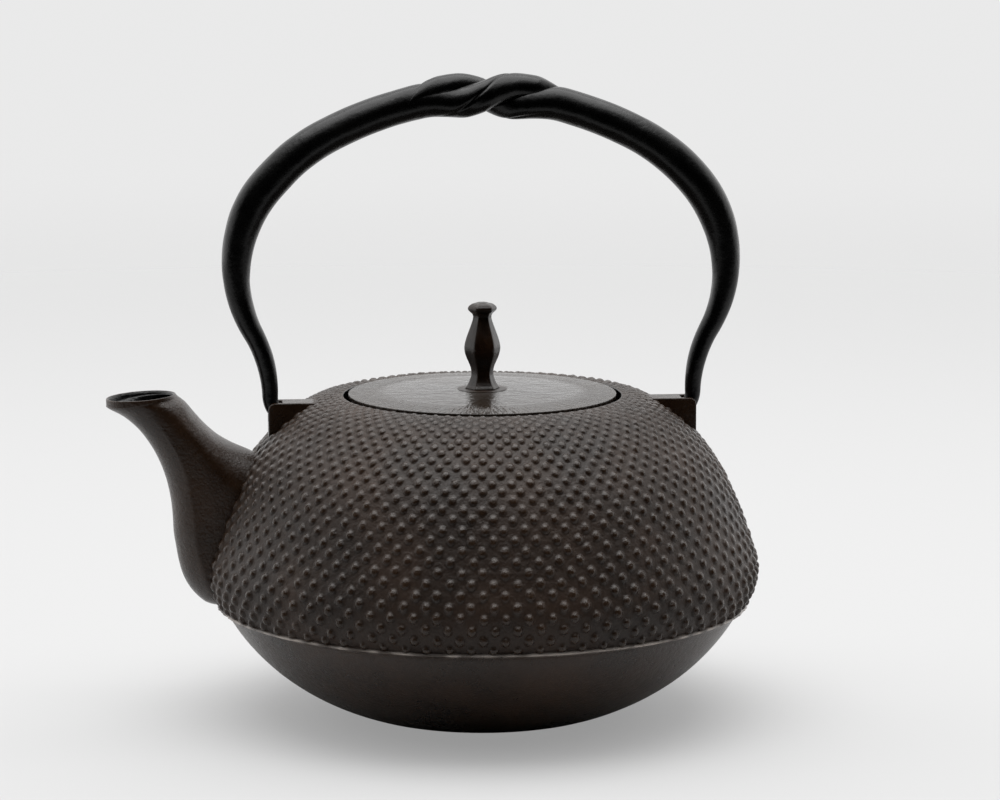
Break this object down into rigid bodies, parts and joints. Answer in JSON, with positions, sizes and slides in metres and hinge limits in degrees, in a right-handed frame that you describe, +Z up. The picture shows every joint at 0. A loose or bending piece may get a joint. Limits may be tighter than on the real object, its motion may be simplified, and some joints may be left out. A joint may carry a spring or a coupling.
{
  "type": "teapot infuser",
  "caption": "Cast-iron kettle-shaped teapot with a dotted shoulder, horn spout, twisted bail handle, lift-off lid with a faceted knob, and a hanging mesh tea infuser.",
  "frame": {"origin": "centre of the flat base, on the axis of the round pot", "axes": "+Z up along the pot's axis; the spout points along -X; the bail handle stands in the XZ plane; +Y is the back in the reference view"},
  "size_m": [0.1982, 0.168, 0.1949],
  "materials": {
    "cast_iron_body": "dark brown lacquered cast iron, satin",
    "cast_iron_lid": "dark brown lacquered cast iron, slightly glossier",
    "black_handle": "black lacquered forged iron, satin",
    "bronzed_knob": "dark brown patina, semi-gloss",
    "bronzed_washer": "dark brown patina, semi-gloss",
    "steel_sheet": "pressed stainless steel",
    "steel_mesh": "woven stainless steel mesh"
  },
  "bodies": {
    "pot": {"kettle_body": "cast_iron_body"},
    "bail": {"bail_handle": "black_handle"},
    "infuser": {"infuser_rim": "steel_sheet", "infuser_wall": "steel_mesh", "infuser_base": "steel_mesh", "infuser_base_ring": "steel_sheet"},
    "lid": {"lid_plate": "cast_iron_lid", "knob_seat_washer": "bronzed_washer", "knob_back_washer": "bronzed_washer", "lid_knob": "bronzed_knob"}
  },
  "joints": [
    {"name": "bail_rock", "type": "hinge", "parent": "pot", "child": "bail", "pos_m": [0, 0, 0.0918], "axis": [1, 0, 0], "range_deg": [-5, 5]},
    {"name": "infuser_lift", "type": "slide", "parent": "pot", "child": "infuser", "axis": [0, 0, 1], "range_m": [0, 0.041]},
    {"name": "lid_lift", "type": "slide", "parent": "infuser", "child": "lid", "axis": [0, 0, 1], "range_m": [0, 0.011]}
  ]
}
